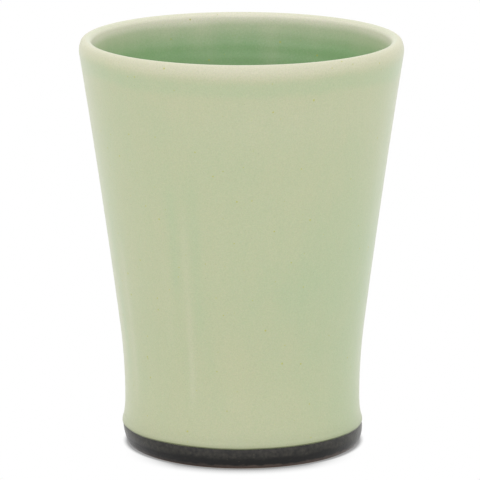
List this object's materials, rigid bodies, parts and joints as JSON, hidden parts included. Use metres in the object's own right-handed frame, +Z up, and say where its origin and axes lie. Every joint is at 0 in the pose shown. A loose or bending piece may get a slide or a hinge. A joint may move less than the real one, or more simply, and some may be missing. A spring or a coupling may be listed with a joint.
{
  "type": "brush pot",
  "caption": "Tapered celadon stoneware pot with a narrow waist, rounded iron-slip heel and foot ring, open at the top to hold calligraphy brushes or pens.",
  "frame": {"origin": "centre of the standing face under the foot ring, on the pot's axis", "axes": "+Z up along the pot's axis; X and Y are equivalent, and -Y faces the viewer"},
  "size_m": [0.0994, 0.0994, 0.1265],
  "materials": {
    "bare_stoneware": "matte",
    "iron_slip": "satin",
    "outer_celadon": "satin",
    "liner_celadon": "satin",
    "base_celadon": "satin"
  },
  "bodies": {
    "root": {"clay_body": "bare_stoneware", "foot_slip": "iron_slip", "outer_glaze": "outer_celadon", "liner_glaze": "liner_celadon", "base_glaze": "base_celadon"}
  },
  "joints": []
}
